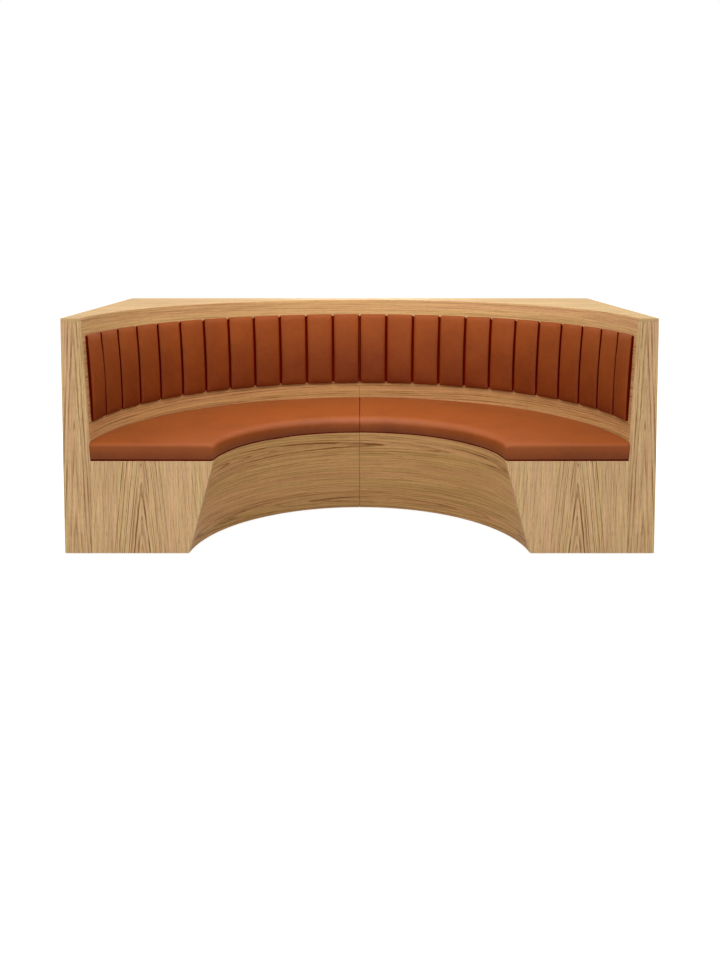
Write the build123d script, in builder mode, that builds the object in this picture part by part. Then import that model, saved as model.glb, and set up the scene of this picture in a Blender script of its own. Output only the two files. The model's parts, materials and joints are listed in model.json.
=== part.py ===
"""Curved restaurant booth bench, built as two bolted halves under one capping board.

The bench is a rectangular carcass around two raked, curved walls. Both walls are cones
about one upright axis, which stands a little in front of the bench. +X is to the right
seen from the front, +Y to the rear and +Z up. The origin is under the middle of the
whole bench, on the floor. Lengths are millimetres and angles are degrees.
"""
import os
from math import acos, asin, atan2, cos, degrees, radians, sin, sqrt, tan

from build123d import *

os.makedirs("parts", exist_ok=True)

# Overall form
overall_width = 2400.0
pillar_top_width = 78.0  # front face of a pillar, at the very top
arc_front_gap = 45.0  # from the front plane out to the axis of every arc
ledge_depth = 122.1  # narrowest stretch of the capping board, in the middle
back_rake = 3.09  # lean of the back wall from upright

# Seat and base
seat_height = 464.0  # top edge of the cushion
cushion_thickness = 81.0
seat_depth = 502.0
toe_recess = 103.0  # how far the base slants back from the seat to the floor

# Back, from the seat upwards
strip_height = 74.0  # bare wood between the seat and the pad
pad_height = 353.0
band_height = 61.0  # bare wood between the pad and the capping board
splice_drop = 26.0  # joint of the band and the skin, hidden this far below the pad's top

# Boards
top_board_thickness = 12.0
panel_thickness = 18.0
skin_thickness = 12.0
deck_thickness = 18.0
rib_thickness = 18.0
joint_gap = 1.6  # open line between the two halves
glue_gap = 0.2  # between a curved skin and what is glued behind it

# Ribs
rib_angles = (22.5, 45.0, 67.5)  # from the rear towards the side
rib_border = 70.0  # wood left round a rib's window
window_corner = 30.0  # corners of a window, cut off at 45 degrees

# Padded back
channels_per_half = 12
pad_end_setback = 40.0  # from the front plane back to the first channel
pad_board_thickness = 6.0
pad_board_margin = 9.0  # leather and foam past the board, all round
channel_gap = 4.5
channel_crown = 17.0  # thickness in the middle
channel_shoulder = 14.5  # thickness where the rounded edge starts
channel_side = 7.0  # height of the flat side
channel_corner_run = 11.0  # width of the rounded edge
channel_end_chamfer = 9.0  # all round the top and bottom, but for the rear
channel_seat_gap = 0.3  # between a channel and its board

# Cushions
seat_clearance = 0.3  # under the seat, and between foam and board
cushion_back_clearance = 1.5
cushion_seam_gap = 2.4
cushion_front_setback = 0.6
cushion_crown_rise = 4.0
cushion_front_radius = 58.0  # a rolled front, well rounded over the knees
cushion_rear_radius = 12.0
cushion_corner_radius = 20.0  # upright edge beside the leg bay
cushion_tuck = 4.0  # how far the lower edge is drawn in
cushion_tuck_height = 16.0
seat_board_thickness = 12.0
seat_board_margin = 6.0  # leather and foam wrapped round the board

# Locating blocks under the seats
socket_angles = (14.0, 72.0)
socket_length = 200.0
socket_width = 110.0
locator_clearance = 1.5
locator_depth = 14.0  # how far a block reaches into the deck

# Hardware
glide_height = 3.0
glide_side = 30.0
glide_inset = 42.0  # from a panel's outer face to a glide's centre
bolt_radius = 4.0
bolt_hole_radius = 4.5
bolt_head_height = 5.3
bolt_flats = 13.0
bolt_tail = 2.0  # thread standing out of the nut
nut_height = 6.5
nut_bore_radius = 4.2
bolt_inset = 70.0
bolt_columns = 2

soft_edge_turns = (0, 45, 90)  # corners of the narrow facets round a soft edge
overrun = 40.0  # how far a cutting solid reaches past what it cuts

# Heights worked out from the driving sizes
base_height = seat_height - cushion_thickness
pad_bottom = seat_height + strip_height
pad_top = pad_bottom + pad_height
splice_height = pad_top - splice_drop
carcass_top = pad_top + band_height
overall_height = carcass_top + top_board_thickness
base_plate_top = glide_height + deck_thickness
deck_underside = base_height - deck_thickness

# Plan worked out from the driving sizes
half_width = overall_width / 2
back_top_radius = sqrt((half_width - pillar_top_width) ** 2 + arc_front_gap**2)
overall_depth = back_top_radius - arc_front_gap + ledge_depth
front_y = -overall_depth / 2
rear_y = overall_depth / 2
axis_y = front_y - arc_front_gap
inner_front_y = front_y + panel_thickness
inner_rear_y = rear_y - panel_thickness
inner_x = half_width - panel_thickness
arc_axis = Axis((0, axis_y, 0), (0, 0, 1))
rake_slope = tan(radians(back_rake))
plinth_slope = toe_recess / base_height
back_run = skin_thickness * sqrt(1 + rake_slope**2)  # wall measured level
plinth_run = skin_thickness * sqrt(1 + plinth_slope**2)
pad_board_run = pad_board_thickness * sqrt(1 + rake_slope**2)


def back_radius(height):
    """Radius of the back wall's visible face."""
    return back_top_radius - (overall_height - height) * rake_slope


seat_front_radius = back_radius(seat_height) - seat_depth


def plinth_radius(height):
    """Radius of the base wall's visible face."""
    return seat_front_radius + (base_height - height) * plinth_slope


def behind_back(height):
    """Radius just behind the back wall."""
    return back_radius(height) + back_run + glue_gap


def behind_plinth(height):
    """Radius just behind the base wall."""
    return plinth_radius(height) + plinth_run + glue_gap


def pad_board_radius(height):
    """Radius of the pad board's front face."""
    return back_radius(height) - glue_gap - pad_board_run


def reach(radius, y):
    """Distance from the middle to a circle about the arc axis, at one depth."""
    return sqrt(radius**2 - (y - axis_y) ** 2)


stile_inner_x = reach(back_radius(base_height), front_y)
behind_front = Plane(origin=(0, inner_front_y, 0), z_dir=(0, 1, 0))
right_of_joint = Plane(origin=(joint_gap / 2, 0, 0), z_dir=(1, 0, 0))


def soft_edge(side_point, top_point):
    """Outline points of a soft edge, upright at its side point and level at its top point."""
    run = top_point[0] - side_point[0]
    rise = top_point[1] - side_point[1]
    return [
        (side_point[0] + run * (1 - cos(radians(turn))), side_point[1] + rise * sin(radians(turn)))
        for turn in soft_edge_turns
    ]


def save(sub_part, node):
    """Label a finished piece and write it."""
    sub_part.part.label = node
    export_step(sub_part.part, f"parts/{node}.step")


def save_pair(right_piece, node):
    """Write a right-hand piece and its mirrored left-hand twin."""
    save(right_piece, f"{node}_right")
    with BuildPart() as left_piece:
        mirror(right_piece.part, about=Plane.YZ)
    save(left_piece, f"{node}_left")


def radial_plane(angle):
    """Upright plane through the arc axis, with local x outwards and local y up."""
    outward = (sin(radians(angle)), cos(radians(angle)), 0)
    across = (cos(radians(angle)), -sin(radians(angle)), 0)
    return Plane(origin=(0, axis_y, 0), x_dir=outward, z_dir=across)


def conical_core(radius_at, low, high):
    """Solid inside of a conical wall, as a cutting body."""
    with BuildPart() as core:
        with BuildSketch(radial_plane(90)):
            with BuildLine():
                Polyline((0, low), (radius_at(low), low), (radius_at(high), high), (0, high), close=True)
            make_face()
        revolve(axis=arc_axis)
    return core.part


def wall_profile(radius_at, run, low, high):
    """Upright section of a conical wall, with local x outwards and local y up."""
    with BuildSketch() as profile:
        with BuildLine():
            Polyline(
                (radius_at(low), low),
                (radius_at(low) + run, low),
                (radius_at(high) + run, high),
                (radius_at(high), high),
                close=True,
            )
        make_face()
    return profile.sketch


seating_space = conical_core(back_radius, base_height, overall_height + overrun)
leg_space = conical_core(plinth_radius, -overrun, base_height)
back_core = conical_core(behind_back, base_height - overrun, overall_height)
plinth_core = conical_core(behind_plinth, -overrun, base_height + overrun)

# Flat outer panels

with BuildPart() as side_panel:
    with BuildSketch(Plane.YZ.offset(inner_x)):
        with Locations((inner_front_y, glide_height)):
            Rectangle(
                inner_rear_y - inner_front_y,
                carcass_top - glide_height,
                align=(Align.MIN, Align.MIN),
            )
    extrude(amount=panel_thickness)
save_pair(side_panel, "side_panel")

with BuildPart() as rear_panel:
    with BuildSketch(Plane.XZ.offset(-inner_rear_y)):
        with Locations((0, glide_height)):
            Rectangle(half_width, carcass_top - glide_height, align=(Align.MIN, Align.MIN))
    extrude(amount=-panel_thickness)
save_pair(rear_panel, "rear_panel")

# The stile's inner edge is straight up to the deck, then follows the raked wall
with BuildPart() as front_stile:
    with BuildSketch(Plane.XZ.offset(-front_y)):
        with Locations((stile_inner_x, glide_height)):
            Rectangle(
                half_width - stile_inner_x,
                carcass_top - glide_height,
                align=(Align.MIN, Align.MIN),
            )
    extrude(amount=-panel_thickness)
    add(seating_space, mode=Mode.SUBTRACT)
save_pair(front_stile, "front_stile")

# The lower panel's inner edge follows the slanted base wall
with BuildPart() as front_panel:
    with BuildSketch(Plane.XZ.offset(-front_y)):
        with Locations((stile_inner_x, glide_height)):
            Rectangle(
                stile_inner_x - reach(seat_front_radius, front_y) + overrun,
                base_height - glide_height,
                align=(Align.MAX, Align.MIN),
            )
    extrude(amount=-panel_thickness)
    add(leg_space, mode=Mode.SUBTRACT)
save_pair(front_panel, "front_panel")

with BuildPart() as top_board:
    with BuildSketch(Plane.XY.offset(carcass_top)):
        Rectangle(overall_width, overall_depth)
    extrude(amount=top_board_thickness)
    add(seating_space, mode=Mode.SUBTRACT)
save(top_board, "top_board")

# Curved, raked walls

with BuildPart() as plinth_skin:
    with BuildSketch(radial_plane(90)):
        add(wall_profile(plinth_radius, plinth_run, glide_height, base_height))
    revolve(axis=arc_axis, revolution_arc=90)
    split(bisect_by=behind_front)
    split(bisect_by=right_of_joint)
save_pair(plinth_skin, "plinth_skin")

with BuildPart() as back_skin:
    with BuildSketch(radial_plane(90)):
        add(wall_profile(back_radius, back_run, base_height, splice_height))
    revolve(axis=arc_axis, revolution_arc=90)
    split(bisect_by=behind_front)
    split(bisect_by=right_of_joint)
save_pair(back_skin, "back_skin")

with BuildPart() as top_band:
    with BuildSketch(radial_plane(90)):
        add(wall_profile(back_radius, back_run, splice_height, carcass_top))
    revolve(axis=arc_axis, revolution_arc=180)
    split(bisect_by=behind_front)
save(top_band, "top_band")

# Carcass inside the panels

seat_mid_radius = (seat_front_radius + back_radius(seat_height)) / 2
socket_places = [
    Location(
        (
            seat_mid_radius * sin(radians(angle)),
            axis_y + seat_mid_radius * cos(radians(angle)),
            0,
        ),
        (0, 0, -angle),
    )
    for angle in socket_angles
]


with BuildSketch() as plate_outline:
    with Locations((0, inner_front_y)):
        Rectangle(inner_x, inner_rear_y - inner_front_y, align=(Align.MIN, Align.MIN))


with BuildPart() as base_plate:
    with BuildSketch(Plane.XY.offset(glide_height)):
        add(plate_outline.sketch)
    extrude(amount=deck_thickness)
    add(plinth_core, mode=Mode.SUBTRACT)
save_pair(base_plate, "base_plate")

with BuildPart() as seat_deck:
    with BuildSketch(Plane.XY.offset(deck_underside)):
        add(plate_outline.sketch)
        with Locations(*socket_places):
            Rectangle(socket_length, socket_width, mode=Mode.SUBTRACT)
    extrude(amount=deck_thickness)
    add(plinth_core, mode=Mode.SUBTRACT)
save_pair(seat_deck, "seat_deck")

with BuildPart() as carcass_half:
    with BuildSketch():
        add(plate_outline.sketch)
    extrude(amount=carcass_top)

bolt_low_y = axis_y + behind_plinth(0) + bolt_inset
bolt_pitch_y = (inner_rear_y - bolt_inset - bolt_low_y) / (bolt_columns - 1)
bolt_places = [
    (bolt_low_y + column * bolt_pitch_y, height)
    for column in range(bolt_columns)
    for height in (base_plate_top + bolt_inset, deck_underside - bolt_inset)
]

with BuildPart() as base_centre_frame:
    with BuildSketch(Plane.YZ):
        with Locations((inner_rear_y, base_plate_top)):
            Rectangle(
                inner_rear_y - axis_y,
                deck_underside - base_plate_top,
                align=(Align.MAX, Align.MIN),
            )
        with Locations(*bolt_places):
            Circle(bolt_hole_radius, mode=Mode.SUBTRACT)
    extrude(amount=rib_thickness)
    add(plinth_core, mode=Mode.SUBTRACT)
save_pair(base_centre_frame, "base_centre_frame")


def rib_reach(angle):
    """Distance from the arc axis to the carcass panels, along one rib."""
    to_rear = (inner_rear_y - axis_y) / cos(radians(angle))
    to_side = inner_x / sin(radians(angle))
    return min(to_rear, to_side)


with BuildPart() as base_ribs:
    for rib_angle in rib_angles:
        window_end = rib_reach(rib_angle) - rib_border
        window_low = base_plate_top + rib_border
        window_high = deck_underside - rib_border
        with BuildSketch(radial_plane(rib_angle)):
            with Locations((0, base_plate_top)):
                Rectangle(
                    rib_reach(rib_angle) + overrun,
                    deck_underside - base_plate_top,
                    align=(Align.MIN, Align.MIN),
                )
            with BuildLine():
                window = Polyline(
                    (behind_plinth(window_low) + rib_border, window_low),
                    (window_end, window_low),
                    (window_end, window_high),
                    (behind_plinth(window_high) + rib_border, window_high),
                    close=True,
                )
                chamfer(window.vertices(), length=window_corner)
            make_face(mode=Mode.SUBTRACT)
    extrude(amount=rib_thickness / 2, both=True)
    add(plinth_core, mode=Mode.SUBTRACT)
    add(carcass_half.part, mode=Mode.INTERSECT)
save_pair(base_ribs, "base_ribs")

with BuildPart() as back_ribs:
    for rib_angle in rib_angles:
        with BuildSketch(radial_plane(rib_angle)):
            with Locations((0, base_height)):
                Rectangle(
                    rib_reach(rib_angle) + overrun,
                    carcass_top - base_height,
                    align=(Align.MIN, Align.MIN),
                )
    extrude(amount=rib_thickness / 2, both=True)
    with BuildSketch(Plane.YZ):
        with Locations((inner_rear_y, base_height)):
            Rectangle(
                inner_rear_y - axis_y,
                carcass_top - base_height,
                align=(Align.MAX, Align.MIN),
            )
    extrude(amount=rib_thickness)
    add(back_core, mode=Mode.SUBTRACT)
    add(carcass_half.part, mode=Mode.INTERSECT)
save_pair(back_ribs, "back_ribs")

# Bolts through both centre frames, each with its nut
hexagon_radius = bolt_flats / sqrt(3)
bolt_length = 2 * rib_thickness + nut_height + bolt_tail

with BuildPart() as joining_bolts:
    with BuildSketch(Plane.YZ.offset(-rib_thickness)):
        with Locations(*bolt_places):
            RegularPolygon(hexagon_radius, side_count=6)
    extrude(amount=-bolt_head_height)
    with BuildSketch(Plane.YZ.offset(-rib_thickness)):
        with Locations(*bolt_places):
            Circle(bolt_radius)
    extrude(amount=bolt_length)
    with BuildSketch(Plane.YZ.offset(rib_thickness)):
        with Locations(*bolt_places):
            RegularPolygon(hexagon_radius, side_count=6)
            Circle(nut_bore_radius, mode=Mode.SUBTRACT)
    extrude(amount=nut_height)
save(joining_bolts, "joining_bolts")

# Glides under the base plates, round the outside and along the curved wall
glide_ring_radius = behind_plinth(glide_height) + glide_inset
glide_places = [
    (glide_inset, rear_y - glide_inset),
    (half_width / 2, rear_y - glide_inset),
    (half_width - glide_inset, rear_y - glide_inset),
    (half_width - glide_inset, 0),
    (half_width - glide_inset, front_y + glide_inset),
]
glide_places += [
    (glide_ring_radius * sin(radians(angle)), axis_y + glide_ring_radius * cos(radians(angle)))
    for angle in (rib_angles[0] / 2, rib_angles[1], rib_angles[2])
]

with BuildPart() as floor_glides:
    with BuildSketch():
        with Locations(*glide_places):
            Rectangle(glide_side, glide_side)
    extrude(amount=glide_height)
    mirror(about=Plane.YZ)
save(floor_glides, "floor_glides")

# Padded back: bent boards that carry separately padded channels

pad_mid_radius = pad_board_radius((pad_bottom + pad_top) / 2)
pad_end_angle = degrees(acos((arc_front_gap + pad_end_setback) / pad_mid_radius))
channel_count = 2 * channels_per_half
channel_pitch = 2 * pad_end_angle / channel_count
pad_board_bottom = pad_bottom + pad_board_margin
pad_board_top = pad_top - pad_board_margin
pad_board_end_angle = pad_end_angle - degrees(pad_board_margin / pad_mid_radius)

with BuildPart() as pad_board:
    with BuildSketch(radial_plane(pad_board_end_angle)):
        add(wall_profile(pad_board_radius, pad_board_run, pad_board_bottom, pad_board_top))
    revolve(axis=arc_axis, revolution_arc=pad_board_end_angle)
    split(bisect_by=right_of_joint)
save_pair(pad_board, "pad_board")


def channel_section(height):
    """Level section of one channel that points straight to the rear."""
    rear = pad_board_radius(height) - channel_seat_gap
    edge = radians(channel_pitch / 2) - asin(channel_gap / 2 / rear)
    turn = edge - asin(channel_corner_run / rear)
    right_edge = soft_edge((edge, channel_side), (turn, channel_shoulder))
    left_edge = [(-angle, depth) for angle, depth in reversed(right_edge)]
    outline = [(-edge, 0), (0, 0), (edge, 0), *right_edge, (0, channel_crown), *left_edge]
    with BuildSketch() as section:
        with BuildLine():
            Polyline(
                *[((rear - depth) * sin(angle), (rear - depth) * cos(angle)) for angle, depth in outline],
                close=True,
            )
        make_face()
    return section.sketch


# One channel is lofted between its two ends, and its rim is chamfered where it shows
with BuildPart() as channel:
    for end_height in (pad_bottom, pad_top):
        with BuildSketch(Plane.XY.offset(end_height)):
            add(channel_section(end_height))
    loft(ruled=True)
    level_faces = faces().sort_by(Axis.Z)
    bottom_rim = level_faces[0].edges().sort_by(Axis.Y)[:-2]
    top_rim = level_faces[-1].edges().sort_by(Axis.Y)[:-2]
    chamfer(bottom_rim + top_rim, channel_end_chamfer)

for number in range(1, channel_count + 1):
    channel_angle = (number - (channel_count + 1) / 2) * channel_pitch
    with BuildPart() as back_channel:
        with Locations(Location((0, axis_y, 0), (0, 0, -channel_angle))):
            add(channel.part)
    save(back_channel, f"back_channel_{number:02d}")

# Seats: a padded cushion wrapped round a board, with locating blocks under it

seat_bottom = base_height + seat_clearance
locator_bottom = base_height - locator_depth
cushion_front_y = front_y + cushion_front_setback
cushion_seam_x = cushion_seam_gap / 2


def cushion_rear_radius_at(height):
    """Radius of the cushion's rear face."""
    return back_radius(height) - cushion_back_clearance


def seat_plan(margin, height):
    """Plan of one seat, smaller all round by a margin."""
    inner = seat_front_radius + margin
    outer = cushion_rear_radius_at(height) - margin
    seam_x = cushion_seam_x + margin
    end_y = cushion_front_y + margin
    seam_inner = (seam_x, axis_y + sqrt(inner**2 - seam_x**2))
    seam_outer = (seam_x, axis_y + sqrt(outer**2 - seam_x**2))
    end_inner = (reach(inner, end_y), end_y)
    end_outer = (reach(outer, end_y), end_y)

    def middle(radius, first, last):
        turn = (atan2(first[0], first[1] - axis_y) + atan2(last[0], last[1] - axis_y)) / 2
        return (radius * sin(turn), axis_y + radius * cos(turn))

    with BuildSketch() as plan:
        with BuildLine():
            ThreePointArc(seam_outer, middle(outer, seam_outer, end_outer), end_outer)
            Line(end_outer, end_inner)
            ThreePointArc(end_inner, middle(inner, end_inner, seam_inner), seam_inner)
            Line(seam_inner, seam_outer)
        make_face()
    return plan.sketch


with BuildPart() as seat_board:
    with BuildSketch(Plane.XY.offset(seat_bottom)):
        add(seat_plan(seat_board_margin, seat_bottom))
    extrude(amount=seat_board_thickness)
save_pair(seat_board, "seat_board")

with BuildPart() as seat_locators:
    with BuildSketch(Plane.XY.offset(locator_bottom)):
        with Locations(*socket_places):
            Rectangle(
                socket_length - 2 * locator_clearance,
                socket_width - 2 * locator_clearance,
            )
    extrude(amount=seat_bottom - locator_bottom)
save_pair(seat_locators, "seat_locators")

with BuildPart() as seat_cushion:
    front = seat_front_radius
    rear_top = cushion_rear_radius_at(seat_height)
    rear_edge_height = seat_height - cushion_rear_radius
    with BuildSketch(radial_plane(90)):
        with BuildLine():
            Polyline(
                (front + cushion_tuck, seat_bottom),
                (front, seat_bottom + cushion_tuck_height),
                *soft_edge(
                    (front, seat_height - cushion_front_radius),
                    (front + cushion_front_radius, seat_height),
                ),
                ((front + rear_top) / 2, seat_height + cushion_crown_rise),
                *reversed(
                    soft_edge(
                        (cushion_rear_radius_at(rear_edge_height), rear_edge_height),
                        (rear_top - cushion_rear_radius, seat_height),
                    )
                ),
                (cushion_rear_radius_at(seat_bottom), seat_bottom),
                close=True,
            )
        make_face()
    revolve(axis=arc_axis, revolution_arc=90)
    split(bisect_by=Plane(origin=(0, cushion_front_y, 0), z_dir=(0, 1, 0)))
    split(bisect_by=Plane(origin=(cushion_seam_x, 0, 0), z_dir=(1, 0, 0)))
    end_face = faces().sort_by(Axis.Y)[0]
    bay_edges = end_face.edges().sort_by(Axis.X)[:3]
    fillet(bay_edges, cushion_corner_radius)
    with BuildSketch(Plane.XY.offset(seat_bottom)):
        add(seat_plan(seat_board_margin - seat_clearance, seat_bottom))
    extrude(amount=seat_board_thickness + seat_clearance, mode=Mode.SUBTRACT)
save_pair(seat_cushion, "seat_cushion")
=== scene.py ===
# %% [markdown]
# A curved restaurant booth, dressed around its packed construction model.
# The carcass comes ready-made from the frame: every board has its real size and place there.
# This lesson keeps those places and adds what a joiner and an upholsterer would add: eased
# edges, bent walls that are truly round, oak veneer, and leather pulled over foam.

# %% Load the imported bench
import json
from math import acos, asin, ceil, cos, pi, radians, sin

import bmesh
import bpy
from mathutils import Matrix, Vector, noise

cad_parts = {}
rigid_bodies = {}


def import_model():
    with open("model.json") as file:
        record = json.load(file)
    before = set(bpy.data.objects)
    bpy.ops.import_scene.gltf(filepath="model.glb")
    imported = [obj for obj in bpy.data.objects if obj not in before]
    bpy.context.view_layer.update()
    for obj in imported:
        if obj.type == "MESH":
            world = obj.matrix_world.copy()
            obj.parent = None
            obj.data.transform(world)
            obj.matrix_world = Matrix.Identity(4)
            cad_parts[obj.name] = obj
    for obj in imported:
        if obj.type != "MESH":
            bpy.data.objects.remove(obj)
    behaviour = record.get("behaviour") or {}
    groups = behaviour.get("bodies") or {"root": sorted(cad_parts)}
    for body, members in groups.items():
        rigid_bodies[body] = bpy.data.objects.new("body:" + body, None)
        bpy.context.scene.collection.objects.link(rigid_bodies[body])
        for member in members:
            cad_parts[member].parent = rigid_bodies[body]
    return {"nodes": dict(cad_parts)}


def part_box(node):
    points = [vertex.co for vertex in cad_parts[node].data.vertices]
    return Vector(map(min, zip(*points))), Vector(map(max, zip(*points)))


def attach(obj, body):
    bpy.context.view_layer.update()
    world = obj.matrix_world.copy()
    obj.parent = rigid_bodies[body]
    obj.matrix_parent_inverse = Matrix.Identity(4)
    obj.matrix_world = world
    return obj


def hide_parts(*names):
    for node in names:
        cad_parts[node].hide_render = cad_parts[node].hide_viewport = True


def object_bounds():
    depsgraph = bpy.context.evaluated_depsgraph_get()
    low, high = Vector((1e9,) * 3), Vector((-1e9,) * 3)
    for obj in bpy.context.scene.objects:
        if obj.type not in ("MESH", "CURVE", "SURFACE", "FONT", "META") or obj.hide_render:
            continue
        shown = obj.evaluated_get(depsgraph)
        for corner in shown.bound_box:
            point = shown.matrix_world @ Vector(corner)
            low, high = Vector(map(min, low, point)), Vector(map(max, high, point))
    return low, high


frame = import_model()
nodes = frame["nodes"]
cad_low, cad_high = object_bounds()
print("bench, in metres:", [round(high - low, 3) for low, high in zip(cad_low, cad_high)])

# %% [markdown]
# Both curved walls are cones about one upright axis, a little in front of the bench. Blender could
# measure a radius from a mesh, but the wall has thickness and ends, so the few driving sizes
# are written here once, and each height's radius follows from them. A lean is the change of
# radius for each metre of height, and the skin's run is its thickness, measured level.

# %% Driving sizes of the two curved walls
front_y = cad_low.y
top_z = cad_high.z
axis_ahead = 0.045
axis_y = front_y - axis_ahead
base_top = 0.383
seat_top = 0.464
back_radius_at_top = 1.1229
back_lean = 0.05398
plinth_radius_at_top = 0.5939
plinth_lean = 0.26893
skin_run = 0.01202
board_thickness = 0.018
joint_gap = 0.0016


def back_radius(z):
    """Radius of the raked wall behind the seats."""
    return back_radius_at_top - (top_z - z) * back_lean


def plinth_radius(z):
    """Radius of the slanted wall round the leg bay."""
    return plinth_radius_at_top + (base_top - z) * plinth_lean


print("back radius at the seat:", round(back_radius(seat_top), 4))

# %% [markdown]
# A material is a small machine of nodes. Adding and linking them by hand takes three lines each,
# so one helper does it: it makes a node, sets its options, and plugs numbers or other nodes
# into its sockets. The fourth output of Texture Coordinate is Object, and the second output of
# Geometry is the surface normal.

# %% A helper that builds materials
object_output = 3
normal_output = 1


def linear(red, green, blue):
    """A colour as a painter picks it, 0 to 255, turned into light values by the sRGB curve."""
    shares = [value / 255 for value in (red, green, blue)]
    return (*[s / 12.92 if s <= 0.04045 else ((s + 0.055) / 1.055) ** 2.4 for s in shares], 1.0)


class Finish:
    """One material under construction."""

    def __init__(self, name):
        self.material = bpy.data.materials.new(name)
        self.material.use_nodes = True
        self.tree = self.material.node_tree
        self.shader = self.tree.nodes["Principled BSDF"]

    def add(self, kind, *sockets, output=0, **options):
        """Add a node, fill its sockets in their order, and return one of its outputs."""
        node = self.tree.nodes.new("ShaderNode" + kind)
        for option, value in options.items():
            setattr(node, option, value)
        for place, value in enumerate(sockets):
            if isinstance(value, bpy.types.NodeSocket):
                self.tree.links.new(value, node.inputs[place])
            elif value is not None:
                node.inputs[place].default_value = value
        return node.outputs[output]

    def sum(self, *values, operation="ADD"):
        """Chain one arithmetic operation over two or more values."""
        total = values[0]
        for value in values[1:]:
            total = self.add("Math", total, value, operation=operation)
        return total

    def product(self, *values):
        """Multiply two or more values."""
        return self.sum(*values, operation="MULTIPLY")

    def swing(self, value, strength):
        """A noise value turned into a push up or down round zero."""
        return self.product(self.sum(value, -0.5), strength)

    def range(self, value, low, high, new_low=0.0, new_high=1.0):
        """Stretch one range of values to another, clamped at both ends."""
        return self.add("MapRange", value, low, high, new_low, new_high)

    def blend(self, share, first, second, way="MIX"):
        """Mix two colours."""
        return self.add("MixRGB", share, first, second, blend_type=way)

    def axes(self):
        """The three object coordinates, in metres."""
        place = self.add("TexCoord", output=object_output)
        split = self.add("SeparateXYZ", place).node
        return split.outputs[0], split.outputs[1], split.outputs[2]

    def plug(self, **links):
        """Link results to the shader's sockets, named with underscores for spaces."""
        for socket, value in links.items():
            self.tree.links.new(value, self.shader.inputs[socket.replace("_", " ")])

    def set(self, **values):
        """Set plain values on the shader's own sockets."""
        for socket, value in values.items():
            self.shader.inputs[socket.replace("_", " ")].default_value = value


print("material helper ready")

# %% [markdown]
# Oak veneer is long fibres, so every pattern on it is stretched along the grain. First the three
# object coordinates become two: how far along the grain, and how far across it. On the bent walls
# the grain follows the arc, so "along" is the angle round the axis times a radius. Streaks,
# hair-fine fibres and pores are noises stretched along the grain, each at its own scale.
#
# The nested pointed arches of plain-sawn oak could be drawn as curves, but they are easier to
# grow: a log is a nest of cones, and a board is a slice through it. How far each point of the
# slice is from the log's heart, plus the log's taper, gives its place in the nest, and one noise
# turns that place into growth rings, a thin dark line where it rises past one half. The rings
# are strongest near a heart and calmer away from it, they break up here and there, and a slow
# wander and a quick quiver keep them from being as regular as a drawing.

# %% Oak veneer
oak_light = linear(226, 190, 141)
oak_dark = linear(140, 98, 58)
oak_pore = linear(104, 70, 40)
rosy = linear(255, 247, 252)
olive = linear(250, 252, 243)
ring_scale = 130.0
line_strength = 0.7
near_heart = 0.03
far_from_heart = 0.13
wander_reach = 0.012
quiver_reach = 0.0035
oak_shine = 0.08


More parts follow.
